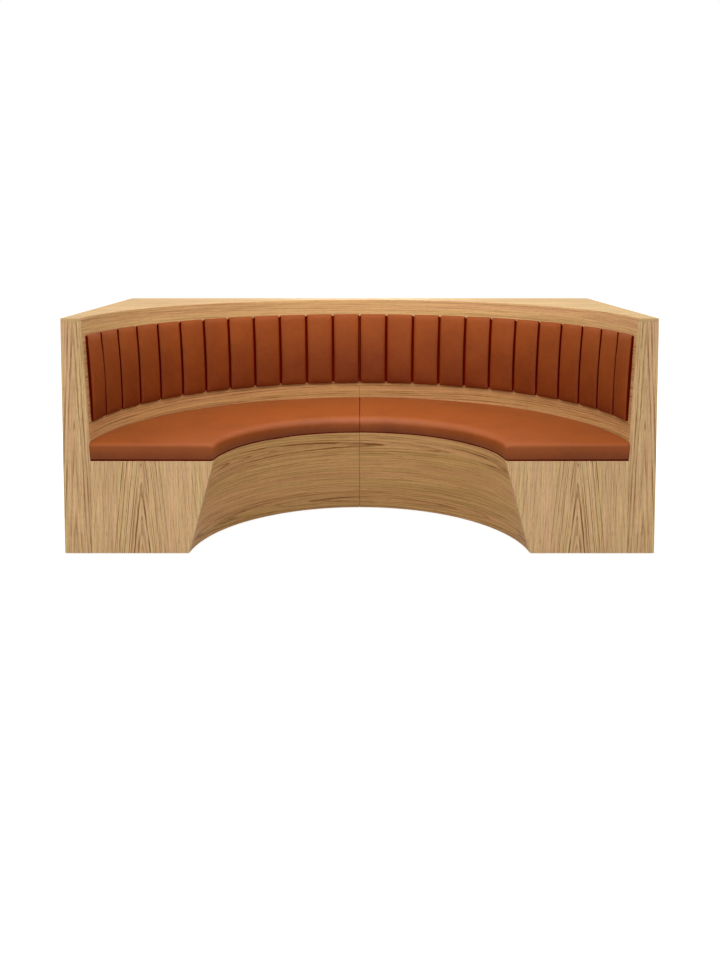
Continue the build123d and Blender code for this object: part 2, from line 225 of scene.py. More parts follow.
def oak(
    name,
    grain,
    logs,
    tones=(oak_light, oak_dark),
    seed=0.0,
    figure=1.0,
    radius=1.0,
    leaf=None,
    bundle=None,
    calm=0.4,
    streaky=1.0,
):
    """Oak veneer with its grain upright, level along X, or round the arc.

    Tones are the light and the dark colour. A log is its heart's place along and across the
    grain, how deep the heart lies under the face, how fast it dives, and the taper of its rings.
    Figure is the strength of the rings, and calm is the share of it that is left far from a
    heart. Radius turns an angle round the arc into a length. A leaf is the width of the
    book-matched sheets. A bundle is a stretch of stronger lines: its middle across the grain and
    half width. Streaky is the share of the streaks' strength, and what is taken from them goes
    to the broad drift of tone.
    """
    finish = Finish(name)
    x, y, z = finish.axes()
    if grain == "upright":
        along, across = z, finish.sum(finish.add("Math", x, operation="ABSOLUTE"), y)
    elif grain == "level":
        along, across = x, finish.sum(y, z)
    else:
        angle = finish.add("Math", x, finish.sum(y, -axis_y), operation="ARCTAN2")
        along, across = finish.product(angle, radius), z
    if leaf:
        across = finish.add("Math", across, leaf, operation="PINGPONG")

    def stretched(along_scale, across_scale, detail, offset, rough=0.55):
        """Noise that is long along the grain, with a mean of one half.

        Its scales are cycles per metre, and the offset sets one noise apart from the next.
        """
        along_part = finish.product(along, along_scale)
        across_part = finish.product(across, across_scale)
        place = finish.add("CombineXYZ", along_part, across_part, seed + offset)
        return finish.add("TexNoise", place, None, 1.0, detail, rough)

    drift = stretched(0.9, 9.0, 2.0, 0.0)
    hue = stretched(0.7, 26.0, 2.0, 23.1)
    streak = stretched(1.4, 90.0, 3.0, 3.1, 0.65)
    fine = stretched(5.0, 210.0, 3.0, 5.7, 0.65)
    fibre = stretched(22.0, 1500.0, 1.0, 8.3)
    pore = finish.range(stretched(30.0, 700.0, 1.0, 11.9), 0.6, 0.7)
    wander = finish.swing(stretched(2.2, 10.0, 1.0, 14.2), wander_reach)
    quiver = finish.swing(stretched(16.0, 45.0, 2.0, 17.9), quiver_reach)

    heart = 1.0
    for centre_along, centre_across, depth, dive, taper in logs:
        sideways = finish.sum(across, -centre_across, wander)
        beyond = finish.sum(along, -centre_along)
        dived = finish.product(beyond, dive)
        square = finish.sum(
            finish.product(sideways, sideways), finish.product(dived, dived), depth * depth
        )
        reach = finish.add("Math", square, 0.5, operation="POWER")
        nest_place = finish.sum(reach, finish.product(beyond, taper))
        heart = finish.add("Math", heart, nest_place, operation="MINIMUM")
    ring_place = finish.sum(heart, quiver, seed)
    rings = finish.add("TexNoise", None, ring_place, ring_scale, 2.0, 0.6, noise_dimensions="1D")
    late = finish.range(rings, 0.5, 0.6)
    broken = finish.range(stretched(7.0, 60.0, 2.0, 20.3), 0.36, 0.56, 0.35, 1.0)
    strength = finish.range(heart, near_heart, far_from_heart, figure, figure * calm)
    if bundle:
        middle, half_width = bundle
        off_middle = finish.add("Math", finish.sum(across, -middle), operation="ABSOLUTE")
        added = finish.range(off_middle, half_width, half_width * 0.5, 0.0, figure * 0.5)
        strength = finish.sum(strength, added)
    shade = finish.sum(
        0.17,
        finish.swing(drift, 0.35 + 0.5 * (1 - streaky)),
        finish.swing(streak, 0.85 * streaky),
        finish.swing(fine, 1.05 * streaky),
        finish.swing(fibre, 0.3),
        finish.product(late, broken, strength, line_strength),
    )
    light, dark = tones
    base = finish.blend(finish.range(shade, 0.0, 1.0), light, dark)
    hue_drift = finish.blend(finish.range(hue, 0.36, 0.64), rosy, olive)
    base = finish.blend(1.0, base, hue_drift, way="MULTIPLY")
    colour = finish.blend(finish.product(pore, 0.45), base, oak_pore)
    relief = finish.sum(
        finish.product(fibre, 0.5), finish.product(fine, 0.4), finish.product(pore, -1.0)
    )
    bump = finish.add("Bump", 0.3, 0.0003, None, relief)
    rough = finish.range(fine, 0.2, 0.8, 0.5, 0.62)
    finish.plug(Base_Color=colour, Roughness=rough, Normal=bump)
    finish.set(Specular_IOR_Level=oak_shine)
    return finish.material


print("oak helper ready")

# %% [markdown]
# Each kind of board comes from a log of its own. The end panels are cut close to the heart, so
# pointed arches stand in them, with a bundle of stronger lines beside. On the plinth the lines
# lie along the arc and close to an arrow and a lens. The rear and the side boards are covered in
# book-matched sheets, whose figure mirrors from leaf to leaf, as a veneer works lays them.

# %% A finish for each kind of board
stile_log = (0.9, 1.153 + front_y, 0.004, 0.0, 0.05)
board_log = (0.45, 0.27, 0.02, 0.0, 0.06)
level_log = (0.2, 0.12, 0.01, 0.0, 0.03)
arc_log = (0.3, 0.70, 0.02, 0.0, 0.02)
panel_log = (0.216, 0.886 + front_y, 0.006, 0.0, 0.10)
arrow_log = (0.26, 0.325, 0.018, 0.0, 0.026)
lens_log = (0.114, 0.045, 0.0, 0.046, 0.0)
level_tones = (linear(214, 180, 128), oak_dark)
band_tones = (linear(210, 168, 116), linear(130, 85, 48))
wall_tones = (linear(202, 155, 101), linear(120, 74, 38))
plinth_tones = (linear(217, 171, 113), linear(132, 84, 43))
back_grain = {"seed": 8.0, "radius": back_radius_at_top}

oak_stile = oak("oak_stile", "upright", [stile_log], seed=2.0, figure=0.8)
oak_board = oak("oak_board", "upright", [board_log], seed=3.0, figure=0.7, leaf=0.6)
oak_level = oak("oak_level", "level", [level_log], level_tones, seed=5.0, figure=0.8, leaf=0.3)
oak_band = oak("oak_band", "arc", [arc_log], band_tones, figure=0.9, calm=0.5, **back_grain)
oak_wall = oak("oak_wall", "arc", [arc_log], wall_tones, figure=1.1, calm=0.65, **back_grain)
oak_panel = oak("oak_panel", "upright", [panel_log], seed=11.0, figure=1.2, bundle=(0.343, 0.045))
oak_plinth = oak(
    "oak_plinth",
    "arc",
    [arrow_log, lens_log],
    plinth_tones,
    seed=14.0,
    figure=0.8,
    radius=plinth_radius_at_top,
    bundle=(0.33, 0.03),
    calm=0.3,
    streaky=0.9,
)
print("oak finishes:", [m.name for m in bpy.data.materials if m.name.startswith("oak")])

# %% [markdown]
# Inside the carcass the boards are bare birch plywood. Its faces are pale and quiet, and its cut
# edges show the plies as thin stripes. The stripes follow the board's thickness, so a level
# board stripes by height. A face of a level board looks straight up or down, which the
# surface normal tells, and there the stripes are faded out. The upright boards stay hidden
# behind the veneer, so they get the face alone.

# %% Plywood
birch_light = linear(214, 184, 140)
birch_dark = linear(178, 142, 98)
ply_light = linear(208, 178, 134)
ply_dark = linear(150, 112, 74)
ply_pair = 0.003


def plywood(name, level):
    """Bare birch plywood, for level boards or for upright ones."""
    finish = Finish(name)
    x, y, z = finish.axes()
    long_way = finish.add(
        "CombineXYZ", finish.product(x, 3.0), finish.product(y, 90.0), finish.product(z, 3.0)
    )
    streak = finish.add("TexNoise", long_way, None, 1.0, 3.0, 0.6)
    cloud = finish.add("TexNoise", finish.add("TexCoord", output=object_output), None, 5.0, 2.0, 0.5)
    shade = finish.sum(0.4, finish.swing(streak, 0.9), finish.swing(cloud, 0.6))
    face = finish.blend(finish.range(shade, 0.0, 1.0), birch_light, birch_dark)
    ply_share = finish.add("Math", finish.product(z, 1 / ply_pair), operation="FRACT")
    ply = finish.range(ply_share, 0.42, 0.58)
    edge = finish.blend(ply, ply_light, ply_dark)
    normal = finish.add("SeparateXYZ", finish.add("NewGeometry", output=normal_output)).node.outputs[2]
    tilt = finish.add("Math", normal, operation="ABSOLUTE")
    on_face = finish.range(tilt, 0.3, 0.7) if level else 1.0
    colour = finish.blend(on_face, edge, face)
    bump = finish.add("Bump", 0.3, 0.0003, None, streak)
    rough = finish.range(streak, 0.2, 0.8, 0.55, 0.75)
    finish.plug(Base_Color=colour, Roughness=rough, Normal=bump)
    return finish.material


ply_level = plywood("plywood_level", True)
ply_upright = plywood("plywood_upright", False)
print("plywood ready")

# %% [markdown]
# The leather is smooth, semi-matt and a warm tan. Close up it has a pebble grain of cells
# under a millimetre and a half, with finer pores between them, and its dye is a little uneven
# over a hand's width. The grain is only in the bump, because it is far too fine to be mesh.
# Low on the back, and on the seat's upright front, the colour is painted darker towards the
# foot: painted shade. Deep in the folds the leather is painted darker still and has no shine,
# as painted shade, so the folds get a finish of their own.

# %% Leather
def leather(name, tones, seed, shine, painted_shade_heights=None):
    """Smooth tan leather with a fine pebble grain, in a light and a dark tone.

    The painted shade runs between two heights: at the first the colour is darkest, and at the second
    it is clear.
    """
    finish = Finish(name)
    place = finish.add("TexCoord", output=object_output)
    moved = finish.add("VectorMath", place, (seed, seed, seed))
    cells = finish.add("TexVoronoi", moved, None, 750.0, 1.0, 0.6, feature="SMOOTH_F1")
    pores = finish.add("TexNoise", moved, None, 1900.0, 3.0, 0.6)
    cloud = finish.add("TexNoise", moved, None, 6.0, 3.0, 0.55)
    mottle = finish.add("TexNoise", moved, None, 45.0, 3.0, 0.6)
    # Between the two heights the colour is painted darker downwards: painted shade.
    middle = finish.range(finish.axes()[2], *painted_shade_heights, 0.75, 0.0) if painted_shade_heights else 0.45
    shade = finish.sum(
        middle, finish.swing(cloud, 0.8), finish.swing(mottle, 0.35), finish.swing(cells, 0.2)
    )
    colour = finish.blend(finish.range(shade, 0.0, 1.0), *tones)
    relief = finish.sum(finish.product(cells, 0.8), finish.product(pores, 0.35))
    bump = finish.add("Bump", 0.22, 0.0004, None, relief)
    rough = finish.range(finish.sum(cells, finish.swing(mottle, 0.5)), 0.0, 1.0, 0.38, 0.5)
    finish.plug(Base_Color=colour, Roughness=rough, Normal=bump)
    finish.set(Specular_IOR_Level=shine)
    return finish.material


seat_tones = (linear(147, 74, 27), linear(104, 46, 16))
back_tones = (linear(142, 70, 26), linear(101, 38, 11))
# Painted shade: a dark leather with no shine, for folds, gaps and undersides that lie in shade.
painted_shade_tones = (linear(98, 10, 3), linear(80, 7, 2))
# Painted shade: the seat's upright front and the foot of the back are painted darker downwards.
seat_painted_shade = (base_top, 0.45)
back_painted_shade = (0.54, 0.89)
seat_leather = leather("seat_leather", seat_tones, seed=1.0, shine=0.2, painted_shade_heights=seat_painted_shade)
back_leather = leather("back_leather", back_tones, seed=4.0, shine=0.1, painted_shade_heights=back_painted_shade)
gap_leather = leather("gap_leather", painted_shade_tones, seed=9.0, shine=0.0)
print("leather ready")

# %% [markdown]
# The bolts are bright zinc plate and the glides are black nylon. Nobody sees them unless the
# bench is tipped over, but both still get a finish of their own: a metal with uneven polish,
# and a plastic with a faint moulded grain.

# %% Zinc and nylon
def small_part(name, tones, metallic, rough, scale):
    """A finish for small hardware, with a slight unevenness at its own scale."""
    finish = Finish(name)
    place = finish.add("TexCoord", output=object_output)
    patch = finish.add("TexNoise", place, None, scale, 3.0, 0.6)
    colour = finish.blend(patch, *tones)
    fine_grain = finish.add("TexNoise", place, None, scale * 8, 2.0, 0.5)
    bump = finish.add("Bump", 0.15, 0.0002, None, fine_grain)
    roughness = finish.range(patch, 0.3, 0.7, *rough)
    finish.plug(Base_Color=colour, Roughness=roughness, Normal=bump)
    finish.set(Metallic=metallic)
    return finish.material


zinc_tones = (linear(196, 196, 190), linear(168, 170, 168))
nylon_tones = (linear(34, 34, 35), linear(46, 46, 48))
zinc = small_part("zinc_plate", zinc_tones, metallic=1.0, rough=(0.3, 0.45), scale=180.0)
nylon = small_part("black_nylon", nylon_tones, metallic=0.0, rough=(0.5, 0.62), scale=300.0)
print("hardware finishes ready")

# %% [markdown]
# Every new piece goes through the same last steps: it becomes an object at the origin, gets its
# material, hides the frame node that it stands for, and rides on that node's body.

# %% A helper that finishes a piece
sharp_angle = radians(32)


def finished(name, shape, material, stands_for, body="carcass"):
    """Make a bmesh a shown object, in the place of one or more frame nodes."""
    mesh = bpy.data.meshes.new(name)
    shape.to_mesh(mesh)
    shape.free()
    mesh.materials.append(material)
    mesh.shade_smooth()
    mesh.set_sharp_from_angle(angle=sharp_angle)
    piece = bpy.data.objects.new(name, mesh)
    bpy.context.scene.collection.objects.link(piece)
    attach(piece, body)
    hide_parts(*stands_for)
    return piece


def even_normals(piece):
    """Let wide faces decide how an eased edge is shaded."""
    weighted = piece.modifiers.new("even normals", "WEIGHTED_NORMAL")
    weighted.keep_sharp = True


print("finishing helpers ready")

# %% [markdown]
# A machined board has dead sharp edges only in a drawing. On the real bench each edge is sanded
# by about a millimetre, and that thin ease is what catches the light and draws the dark line
# between two boards. Each flat board is a copy of its frame node: its loose triangles are
# merged, the flat ones dissolved into whole faces, and every crease bevelled. The capping
# board's curved edge is banded with a strip of veneer whose grain runs round the arc.

# %% Flat boards
board_ease = 0.0009
capping_ease = 0.0012
weld_distance = 0.00002
flat_angle = radians(0.4)
crease_angle = radians(25)
banding_reach = 0.004


def round_edges(shape, edges, radius, segments, clamp=True):
    """Round some edges of a shape."""
    bmesh.ops.bevel(
        shape,
        geom=edges,
        offset=radius,
        offset_type="OFFSET",
        segments=segments,
        profile=0.5,
        affect="EDGES",
        clamp_overlap=clamp,
        material=-1,
    )


def ease_creases(shape, ease):
    """Sand every crease of a board."""
    creases = [edge for edge in shape.edges if edge.calc_face_angle(0.0) > crease_angle]
    round_edges(shape, creases, ease, 2, clamp=False)


def eased_board(node, name, material, ease=board_ease):
    """Copy a board from the frame and ease its edges."""
    shape = bmesh.new()
    shape.from_mesh(nodes[node].data)
    bmesh.ops.remove_doubles(shape, verts=shape.verts, dist=weld_distance)
    bmesh.ops.dissolve_limit(shape, angle_limit=flat_angle, verts=shape.verts, edges=shape.edges)
    ease_creases(shape, ease)
    piece = finished(name, shape, material, [node])
    even_normals(piece)
    return piece


print("board helpers ready")

# %% Make the flat boards
capping_board = eased_board("top_board", "capping_board", oak_level, capping_ease)
capping_board.data.materials.append(oak_band)
for face in capping_board.data.polygons:
    from_axis = Vector((face.center.x, face.center.y - axis_y)).length
    upright = abs(face.normal.z) < 0.5
    if upright and abs(from_axis - back_radius(face.center.z)) < banding_reach:
        face.material_index = 1
boards = [capping_board]
for side in ("left", "right"):
    boards.append(eased_board(f"side_panel_{side}", f"side_board_{side}", oak_board))
    boards.append(eased_board(f"rear_panel_{side}", f"rear_board_{side}", oak_board))
    boards.append(eased_board(f"front_stile_{side}", f"stile_{side}", oak_stile))
    boards.append(eased_board(f"front_panel_{side}", f"end_board_{side}", oak_panel))
print(len(boards), "boards,", sum(len(piece.data.polygons) for piece in boards), "faces")

# %% [markdown]
# The bent walls could be copied too, but the frame holds them as flat facets, and a long
# reflection would show each one. A spin makes them round: four corners of the wall's upright
# section are turned about the arc's axis in many small steps. A cut along the front plane, and
# one at the middle joint, trims the wall to its real ends, and the holes are filled.

# %% Bent walls
arc_steps_per_turn = 420
wall_ease = 0.0007
on_trim = 0.000001


def heights(node):
    """The lowest and the highest point of a frame node."""
    return [corner.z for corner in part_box(node)]


def everything_in(shape):
    """All corners, edges and faces of a shape."""
    return shape.verts[:] + shape.edges[:] + shape.faces[:]


def trimmed(shape, point, normal):
    """Cut a closed wall with a plane, drop what the normal points at, and close the cut."""
    cut = bmesh.ops.bisect_plane(
        shape,
        geom=everything_in(shape),
        dist=on_trim,
        plane_co=point,
        plane_no=normal,
        clear_outer=True,
    )
    rim = [part for part in cut["geom_cut"] if isinstance(part, bmesh.types.BMEdge)]
    bmesh.ops.holes_fill(shape, edges=rim)


def bent_wall(radius_at, low, high, whole=False):
    """A conical wall from one side to the middle, or right round to the other side."""
    shape = bmesh.new()
    sections = [(0.0, low), (skin_run, low), (skin_run, high), (0.0, high)]
    corners = [shape.verts.new((radius_at(z) + run, axis_y, z)) for run, z in sections]
    rim = [shape.edges.new((corners[i - 1], corners[i])) for i in range(len(corners))]
    turn = pi if whole else pi / 2
    bmesh.ops.spin(
        shape,
        geom=corners + rim,
        cent=(0, axis_y, 0),
        axis=(0, 0, 1),
        angle=turn,
        steps=ceil(arc_steps_per_turn * turn / (2 * pi)),
        use_merge=False,
    )
    trimmed(shape, (0, front_y + board_thickness, 0), (0, -1, 0))
    if not whole:
        trimmed(shape, (joint_gap / 2, 0, 0), (-1, 0, 0))
    bmesh.ops.recalc_face_normals(shape, faces=shape.faces)
    ease_creases(shape, wall_ease)
    return shape


def mirrored(shape):
    """Turn a right-hand shape into its left-hand twin."""
    bmesh.ops.scale(shape, vec=(-1, 1, 1), verts=shape.verts)
    bmesh.ops.reverse_faces(shape, faces=shape.faces)
    return shape


def wall_pair(radius_at, node, name, material):
    """Both halves of a bent wall, between the heights of their frame node."""
    low, high = heights(f"{node}_right")
    for side in ("left", "right"):
        shape = bent_wall(radius_at, low, high)
        if side == "left":
            shape = mirrored(shape)
        even_normals(finished(f"{name}_{side}", shape, material, [f"{node}_{side}"]))


print("arc steps in one turn:", arc_steps_per_turn)

# %% Make the bent walls
wall_pair(plinth_radius, "plinth_skin", "plinth_wall", oak_plinth)
wall_pair(back_radius, "back_skin", "back_wall", oak_wall)
band_shape = bent_wall(back_radius, *heights("top_band"), whole=True)
even_normals(finished("band", band_shape, oak_band, ["top_band"]))
walls = [thing.name for thing in bpy.data.objects if "wall" in thing.name or thing.name == "band"]
print("bent walls:", walls)

# %% [markdown]
# The hidden boards, bolts and glides have the right shape in the frame already, so their nodes
# stay, and only their material slots are filled. The bent boards behind the back's padding
# get leather, once the padding is made.

# %% Finishes for the frame's own nodes
for node, thing in nodes.items():
    finish_for_node = None
    if node.startswith(("base_plate", "seat_deck", "seat_board", "seat_locators")):
        finish_for_node = ply_level
    elif node.startswith(("base_centre_frame", "base_ribs", "back_ribs")):
        finish_for_node = ply_upright
    elif node == "joining_bolts":
        finish_for_node = zinc
    elif node == "floor_glides":
        finish_for_node = nylon
    if finish_for_node:
        thing.data.materials.clear()
        thing.data.materials.append(finish_for_node)
print("frame nodes finished")

# %% [markdown]
# A padded piece starts as a plain block, because on a straight block every edge can be rounded
# with a bevel of its own. Even cuts then give the cloth something to bend, and only at the end
# is the block wrapped round the arc. Cutting after wrapping would be far harder.

# %% Blocks for padding
touching = 0.00001
on_slice = 0.00002


def padding_block(size):
    """A box with its low corner at the origin."""
    shape = bmesh.new()
    bmesh.ops.create_cube(shape, size=1.0)
    bmesh.ops.translate(shape, vec=(0.5, 0.5, 0.5), verts=shape.verts)
    bmesh.ops.scale(shape, vec=size, verts=shape.verts)
    return shape


def edges_where(shape, *tests):
    """Edges whose both ends pass every test, each a pair of an axis and a value."""
    found = []
    for edge in shape.edges:
        if all(abs(vert.co[axis] - value) < touching for vert in edge.verts for axis, value in tests):
            found.append(edge)
    return found


def cut_at(shape, axis, place):
    """Cut a block right through, across one axis."""
    normal = [0.0, 0.0, 0.0]
    normal[axis] = 1.0
    bmesh.ops.bisect_plane(
        shape,
        geom=everything_in(shape),
        dist=on_slice,
        plane_co=[part * place for part in normal],
        plane_no=normal,
    )


def cut_net(shape, axis, low, high, spacing):
    """Cut a block across one axis in even slices."""
    slices = ceil((high - low) / spacing)
    for number in range(slices + 1):
        cut_at(shape, axis, low + (high - low) * number / slices)


print("block helpers ready")

# %% [markdown]
# Foam under leather is a little overfull, so the leather is taut and faintly crowned. A cloth
# simulation gives that: the net is cloth, the side that rests on a board is held, and an inner
# pressure pushes the rest outwards. Left alone it would grow into a balloon, so each point's
# travel is capped, and the block starts thinner by half of that cap.

# %% Filling a block with foam
cloth_frames = 20
cloth_quality = 5
foam_pressure = 4.0
no_limit = 1.0


def overfilled(shape, held, cap):
    """Swell a block like cloth over foam, holding some points and capping the rest."""
    mesh = bpy.data.meshes.new("cloth")
    shape.to_mesh(mesh)
    cloth = bpy.data.objects.new("cloth", mesh)
    bpy.context.scene.collection.objects.link(cloth)
    group = cloth.vertex_groups.new(name="held")
    group.add([vert.index for vert in mesh.vertices if held(vert.co)], 1.0, "REPLACE")
    settings = cloth.modifiers.new("cloth", "CLOTH").settings
    settings.use_pressure = True
    settings.uniform_pressure_force = foam_pressure
    settings.effector_weights.gravity = 0.0
    settings.vertex_group_mass = "held"
    settings.quality = cloth_quality
    for frame_number in range(1, cloth_frames + 1):
        bpy.context.scene.frame_set(frame_number)
    swollen = cloth.evaluated_get(bpy.context.evaluated_depsgraph_get()).to_mesh()
    travel = [new.co - old.co for new, old in zip(swollen.vertices, mesh.vertices)]
    shape.verts.ensure_lookup_table()
    for vert, step in zip(shape.verts, travel):
        vert.co += step * min(1.0, cap / max(step.length, cap * 0.001))
    far = max(step.length for step in travel)
    print("cloth points:", len(travel), "farthest travel before the cap, mm:", round(far * 1000, 1))
    bpy.data.objects.remove(cloth)
    bpy.data.meshes.remove(mesh)
    bpy.context.scene.frame_set(1)


def kept_between(shape, axis, low, high):
    """Stop a block from swelling past its neighbours."""
    for vert in shape.verts:
        vert.co[axis] = min(max(vert.co[axis], low), high)


def smoothed(piece):
    """Subdivide a padded piece once, in the view and in a render alike."""
    smoother = piece.modifiers.new("smoother", "SUBSURF")
    smoother.levels = 1
    smoother.render_levels = 1


print("foam helpers ready")

# %% [markdown]
# The seat is one ring-shaped cushion cut in half: taut on top, its front edge rolled over, its
# lower edge drawn in where the leather is stapled under the board. Its top falls a little
# towards the bay, and more so in the last few centimetres, where the foam gives way. The two
# halves meet in a tight seam, whose small roundings get the dark leather of painted shade, and
# so do the underside and its rim. The corner beside the leg bay is rounded in plan. The block
# lies straight, x round the arc and y from the bay to the back, and it is a little shorter than
# the arc through its middle.

# %% Sizes of a seat cushion
deck_clearance = 0.0003
front_clearance = 0.0006
rear_clearance = 0.0015
length_share = 0.96
seat_bottom = base_top + deck_clearance
seam_x = 0.0004
end_y = front_y + front_clearance
cushion_width = back_radius(seat_top) - rear_clearance - plinth_radius_at_top
cushion_height = seat_top - seat_bottom
cushion_length = pi / 2 * (plinth_radius_at_top + cushion_width / 2) * length_share
swell = 0.004
front_rim = 0.014
end_rim = 0.013
rear_rim = 0.009
corner_rim = 0.002
base_rim = 0.006
seam_round = 0.003
net_along = 0.012
net_across = 0.010
net_up = 0.007
first_along = 0.006
first_up = 0.008
past_rim = 0.004
cushion_size = (cushion_length, cushion_width, cushion_height)
print("cushion block, mm:", [round(size * 1000) for size in cushion_size])

# %% Shape of a seat cushion
held_height = 0.004
front_slack = 0.001
tilt = 0.007
front_droop = 0.021
front_run = 0.044
droop_lost_at_end = 0.75
end_droop = 0.006
droop_run = 0.09
nose = 0.0035
tuck = 0.007
tuck_height = 0.055
full_at_share = 0.5
# Painted shade: below this height, and in the seam's roundings, the cushion gets the dark leather.
painted_shade_rise = 0.004
painted_shade_seam = (0.0001, seam_round * 0.7)


def cushion_block():
    """One straight seat cushion, before it is bent round the arc."""
    top = cushion_height - swell / 2
    shape = padding_block((cushion_length, cushion_width, top))
    round_edges(shape, edges_where(shape, (1, 0.0), (2, top)), front_rim, 6)
    rim = []
    for edge in edges_where(shape, (0, cushion_length)):
        on_base = all(vert.co.z < touching for vert in edge.verts)
        on_rear = all(abs(vert.co.y - cushion_width) < touching for vert in edge.verts)
        if not on_base and not on_rear:
            rim.append(edge)
    round_edges(shape, rim, end_rim, 6)
    round_edges(shape, edges_where(shape, (1, cushion_width), (2, top)), rear_rim, 4)
    round_edges(shape, edges_where(shape, (0, cushion_length), (1, cushion_width)), corner_rim, 2)
    round_edges(shape, edges_where(shape, (0, 0.0)), seam_round, 3)
    round_edges(shape, edges_where(shape, (2, 0.0)), base_rim, 3)
    cut_net(shape, 0, first_along, cushion_length - end_rim, net_along)
    cut_net(shape, 1, front_rim + past_rim, cushion_width - rear_rim, net_across)
    cut_at(shape, 1, cushion_width - rear_rim / 2)
    cut_net(shape, 2, first_up, top - front_rim, net_up)
    return shape


def wrapped_cushion(shape):
    """Bend a straight cushion round the arc, between the seam and the front plane."""
    for vert in shape.verts:
        x, y, z = vert.co
        height = seat_bottom + z
        rear = back_radius(height) - rear_clearance
        radius = plinth_radius_at_top + (rear - plinth_radius_at_top) * y / cushion_width
        first = asin(seam_x / radius)
        last = acos((end_y - axis_y) / radius)
        turn = first + (last - first) * x / cushion_length
        vert.co = (radius * sin(turn), axis_y + radius * cos(turn), height)


print("cushion helpers ready")

# %% Make the two seats
cushion = cushion_block()
bmesh.ops.recalc_face_normals(cushion, faces=cushion.faces)
overfilled(cushion, lambda place: place.z < held_height, swell)
kept_between(cushion, 0, 0.0, cushion_length)
kept_between(cushion, 1, -front_slack, cushion_width)
kept_between(cushion, 2, 0.0, no_limit)
for vert in cushion.verts:
    drawn_in = tuck * max(0.0, 1 - vert.co.z / tuck_height) ** 2
    near_end = max(0.0, 1 - (cushion_length - vert.co.x) / droop_run)
    near_front = max(0.0, 1 - vert.co.y / front_run)
    vert.co.y += (drawn_in - nose) * min(1.0, near_front / full_at_share)
    vert.co.x -= (drawn_in - nose) * min(1.0, near_end / full_at_share)
    share = 1 - droop_lost_at_end * (vert.co.x / cushion_length) ** 2
    lowered = tilt * (1 - vert.co.y / cushion_width)
    lowered += end_droop * near_end ** 2 + share * front_droop * near_front ** 2
    vert.co.z -= lowered * vert.co.z / cushion_height
# Painted shade on the underside, its rim and the seam.
for face in cushion.faces:
    middle = face.calc_center_median()
    if middle.z < painted_shade_rise or painted_shade_seam[0] < middle.x < painted_shade_seam[1]:
        face.material_index = 1
wrapped_cushion(cushion)
for side in ("right", "left"):
    half = cushion.copy()
    if side == "left":
        half = mirrored(half)
    name = f"seat_{side}"
    seat = finished(name, half, seat_leather, [f"seat_cushion_{side}"], name)
    seat.data.materials.append(gap_leather)
    smoothed(seat)
    print(seat.name, len(seat.data.polygons), "faces")
cushion.free()

# %% [markdown]
# The back is twenty-four narrow pads, side by side. Each could be a simulation of its own, but
# that takes long and looks no better. So one is modelled, swollen and then copied to its
# twenty-four places, each with a slight unevenness of its own, as hand-pulled leather has.
# The block stands with x across the pad, y from the wooden wall towards the sitter, and z up.
# Deep in the folds, and under its lower end, each pad wears the dark leather of painted shade.
# Where the padding reaches past the bent board that carries it, its rear goes on towards the
# wall, as leather wrapped round the board's edge does.

# %% Sizes of a back channel
channel_nodes = sorted(node for node in nodes if node.startswith("back_channel_"))
pad_low, pad_high = heights(channel_nodes[0])
channel_rear_gap = 0.00651
pad_mid_radius = back_radius((pad_low + pad_high) / 2) - channel_rear_gap
pad_end_setback = 0.040
pad_end_angle = acos((front_y + pad_end_setback - axis_y) / pad_mid_radius)
channel_pitch = 2 * pad_end_angle / len(channel_nodes)
channel_gap = 0.0070
fold_depth = 0.0095
channel_width = channel_pitch * pad_mid_radius - channel_gap
channel_height = pad_high - pad_low
channel_thickness = 0.0175
channel_swell = 0.0025
top_rim = 0.013
side_rim = 0.0095
lower_rim = 0.008
net_margin = 0.014
net_spacing = 0.010
wrap_margin = 0.0087
wrap_depth = 0.0060
wrap_cut = 0.001
print("channel width and height, mm:", round(channel_width * 1000, 1), round(channel_height * 1000, 1))

# %% Shape of a back channel
rear_skin = 0.002
end_crown = 0.0075
side_crown = 0.0045
fold_side = 0.003
fold_base = 0.005
seed_step = 3.7
uneven_across = 12
uneven_up = 7
uneven_depth = 0.0006


def channel_block():
    """One upright channel, standing straight."""
    front = channel_thickness - channel_swell / 2
    shape = padding_block((channel_width, front, channel_height))
    round_edges(shape, edges_where(shape, (1, front), (2, channel_height)), top_rim, 5)
    for side in (0.0, channel_width):
        rim = []
        for edge in edges_where(shape, (0, side)):
            on_rear = all(vert.co.y < touching for vert in edge.verts)
            on_base = all(vert.co.z < touching for vert in edge.verts)
            if not on_rear and not on_base:
                rim.append(edge)
        round_edges(shape, rim, side_rim, 6)
    base = [edge for edge in shape.edges if all(vert.co.z < touching for vert in edge.verts)]
    off_rear = [edge for edge in base if any(vert.co.y > touching for vert in edge.verts)]
    round_edges(shape, off_rear, lower_rim, 4)
    for axis, size in ((0, channel_width), (2, channel_height)):
        cut_net(shape, axis, net_margin, size - net_margin, net_spacing)
        for place in (wrap_margin - wrap_cut, size - wrap_margin + wrap_cut):
            cut_at(shape, axis, place)
    return shape


def crowned(x, z):
    """How thick a channel is at a place, as a share: its leather is held down all round."""
    sideways = 2 * x / channel_width - 1
    upwards = 2 * z / channel_height - 1
    return 1 - (side_crown * sideways ** 2 + end_crown * upwards ** 2) / channel_thickness


